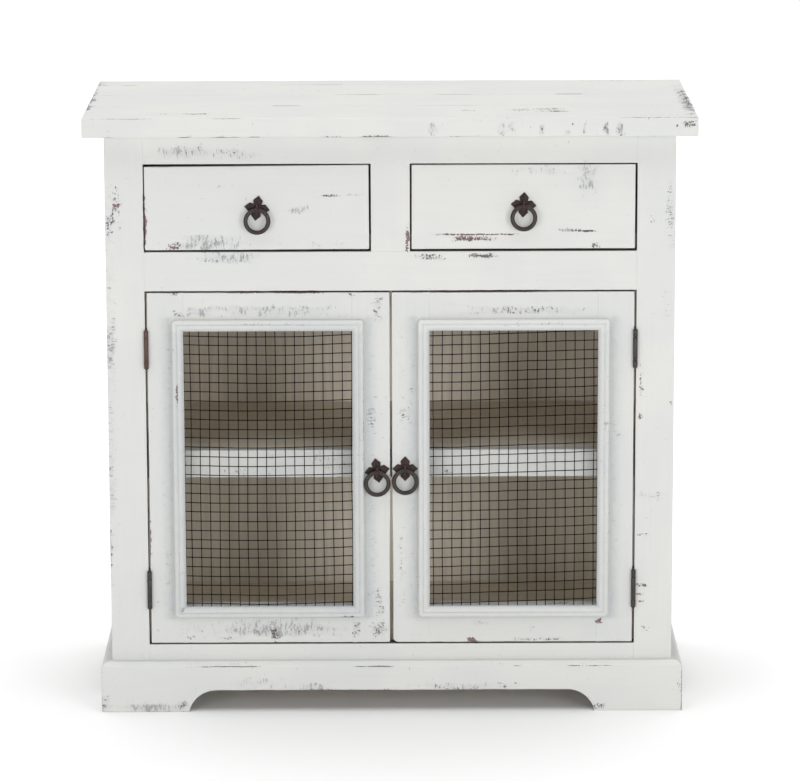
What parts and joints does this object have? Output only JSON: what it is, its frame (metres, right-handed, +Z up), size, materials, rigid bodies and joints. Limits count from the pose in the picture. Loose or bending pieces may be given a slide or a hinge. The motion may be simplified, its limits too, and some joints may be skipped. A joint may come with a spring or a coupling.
{
  "type": "accent cabinet",
  "caption": "Painted wood accent cabinet: drawers over wire mesh doors with ring pulls, an inner shelf, an overhanging top and an arched plinth.",
  "frame": {"origin": "on the floor under the middle of the top", "axes": "+Z up, the front with doors and drawers faces -Y, +X to the right seen from the front"},
  "size_m": [0.813, 0.38, 0.813],
  "materials": {
    "white_paint": "distressed chalky white paint over dark wood, matt",
    "interior_paint": "greige washed wood, matt",
    "raw_wood": "bare sanded wood, matt",
    "pull_iron": "dark brown black lacquered iron, satin",
    "hinge_iron": "dark oxidised iron, satin",
    "wire_mesh": "dark patinated welded wire, satin",
    "plated_steel": "zinc plated steel, satin"
  },
  "bodies": {
    "root": {"top_panel": "white_paint", "side_panel_left": "white_paint", "side_panel_right": "white_paint", "back_panel": "interior_paint", "floor_board": "interior_paint", "shelf_board": "interior_paint", "shelf_front_rail": "white_paint", "shelf_cleats": "interior_paint", "frame_stile_left": "white_paint", "frame_stile_right": "white_paint", "frame_centre_stile": "white_paint", "frame_top_rail": "white_paint", "frame_middle_rail": "white_paint", "frame_bottom_rail": "white_paint", "drawer_divider": "interior_paint", "drawer_runners": "interior_paint", "back_top_rail": "interior_paint", "plinth_front": "white_paint", "plinth_left": "white_paint", "plinth_right": "white_paint", "plinth_blocks": "interior_paint", "frame_hinge_leaves": "hinge_iron", "hinge_pins": "hinge_iron", "door_catches": "plated_steel"},
    "door_left": {"door_left_hinge_stile": "white_paint", "door_left_meeting_stile": "white_paint", "door_left_top_rail": "white_paint", "door_left_bottom_rail": "white_paint", "door_left_moulding": "white_paint", "door_left_mesh": "wire_mesh", "door_left_hinge_leaves": "hinge_iron", "door_left_strike_plate": "plated_steel", "door_left_pull_plate": "pull_iron", "door_left_pull_staple": "pull_iron"},
    "drawer_left": {"drawer_left_front": "white_paint", "drawer_left_sides": "raw_wood", "drawer_left_back": "raw_wood", "drawer_left_bottom": "raw_wood", "drawer_left_pull_plate": "pull_iron", "drawer_left_pull_staple": "pull_iron"},
    "ring_door_left": {"door_left_ring": "pull_iron"},
    "ring_drawer_left": {"drawer_left_ring": "pull_iron"},
    "door_right": {"door_right_hinge_stile": "white_paint", "door_right_meeting_stile": "white_paint", "door_right_top_rail": "white_paint", "door_right_bottom_rail": "white_paint", "door_right_moulding": "white_paint", "door_right_mesh": "wire_mesh", "door_right_hinge_leaves": "hinge_iron", "door_right_strike_plate": "plated_steel", "door_right_pull_plate": "pull_iron", "door_right_pull_staple": "pull_iron"},
    "drawer_right": {"drawer_right_front": "white_paint", "drawer_right_sides": "raw_wood", "drawer_right_back": "raw_wood", "drawer_right_bottom": "raw_wood", "drawer_right_pull_plate": "pull_iron", "drawer_right_pull_staple": "pull_iron"},
    "ring_door_right": {"door_right_ring": "pull_iron"},
    "ring_drawer_right": {"drawer_right_ring": "pull_iron"}
  },
  "joints": [
    {"name": "door_left_hinge", "type": "hinge", "parent": "root", "child": "door_left", "pos_m": [-0.3267, -0.1662, 0.333], "axis": [0, 0, -1], "range_deg": [0, 165]},
    {"name": "drawer_left_slide", "type": "slide", "parent": "root", "child": "drawer_left", "axis": [0, -1, 0], "range_m": [0, 0.25]},
    {"name": "ring_door_left_swing", "type": "hinge", "parent": "door_left", "child": "ring_door_left", "pos_m": [-0.0188, -0.17188, 0.3303], "axis": [-1, 0, 0], "range_deg": [0, 175]},
    {"name": "ring_drawer_left_swing", "type": "hinge", "parent": "drawer_left", "child": "ring_drawer_left", "pos_m": [-0.177, -0.17188, 0.6877], "axis": [-1, 0, 0], "range_deg": [-6, 175]},
    {"name": "door_right_hinge", "type": "hinge", "parent": "root", "child": "door_right", "pos_m": [0.3267, -0.1662, 0.333], "axis": [0, 0, 1], "range_deg": [0, 165]},
    {"name": "drawer_right_slide", "type": "slide", "parent": "root", "child": "drawer_right", "axis": [0, -1, 0], "range_m": [0, 0.25]},
    {"name": "ring_door_right_swing", "type": "hinge", "parent": "door_right", "child": "ring_door_right", "pos_m": [0.0188, -0.17188, 0.3327], "axis": [-1, 0, 0], "range_deg": [0, 175]},
    {"name": "ring_drawer_right_swing", "type": "hinge", "parent": "drawer_right", "child": "ring_drawer_right", "pos_m": [0.177, -0.17188, 0.6911], "axis": [-1, 0, 0], "range_deg": [-6, 175]}
  ]
}
